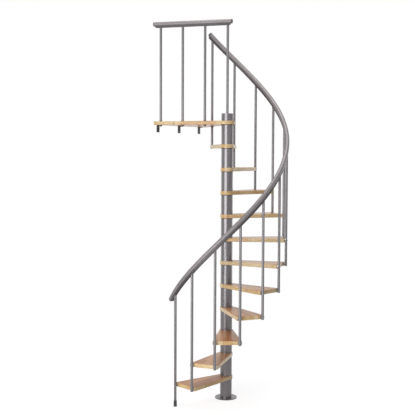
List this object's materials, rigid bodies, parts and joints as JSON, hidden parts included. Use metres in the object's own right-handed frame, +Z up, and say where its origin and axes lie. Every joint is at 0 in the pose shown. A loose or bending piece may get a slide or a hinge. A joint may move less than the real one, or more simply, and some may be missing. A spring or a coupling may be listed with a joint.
{
  "type": "spiral staircase",
  "caption": "Spiral staircase with timber treads and landing on a tubular steel pole, slim steel balusters, a helical handrail and a straight landing rail.",
  "frame": {"origin": "on the floor, on the pole's axis, at the underside of the base flange", "axes": "+Z up along the pole; the stair climbs counterclockwise about +Z, from its first tread at -134.7 degrees from +X; the third tread points to -Y"},
  "size_m": [1.3304, 1.4628, 3.669],
  "materials": {
    "timber": "clear gloss lacquer on laminated beech",
    "pole": "silver-grey satin paint",
    "core": "plain zinc-plated",
    "baluster": "silver-grey satin paint",
    "holder": "silver-grey satin paint",
    "handrail": "silver-grey satin",
    "rail_cap": "matt dark grey",
    "dark_plastic": "matt near-black",
    "dark_steel": "dark zinc"
  },
  "bodies": {
    "root": {"base_flange": "pole", "core_tube": "core", "spacer_tubes": "pole", "centring_rings": "dark_plastic", "pole_cap": "pole", "tread_01": "timber", "tread_02": "timber", "tread_03": "timber", "tread_04": "timber", "tread_05": "timber", "tread_06": "timber", "tread_07": "timber", "tread_08": "timber", "tread_09": "timber", "tread_10": "timber", "tread_11": "timber", "landing": "timber", "landing_bolts": "dark_steel", "landing_rosettes": "dark_steel", "landing_brackets": "dark_steel", "baluster_01": "baluster", "baluster_02": "baluster", "baluster_03": "baluster", "baluster_04": "baluster", "baluster_05": "baluster", "baluster_06": "baluster", "baluster_07": "baluster", "baluster_08": "baluster", "baluster_09": "baluster", "baluster_10": "baluster", "baluster_11": "baluster", "baluster_12": "baluster", "baluster_holders": "holder", "baluster_plugs": "dark_plastic", "baluster_foot": "dark_plastic", "handrail": "handrail", "handrail_caps": "rail_cap", "landing_baluster_1": "baluster", "landing_baluster_2": "baluster", "landing_baluster_3": "baluster", "landing_baluster_4": "baluster", "landing_rail": "handrail", "landing_rail_caps": "rail_cap"}
  },
  "joints": []
}
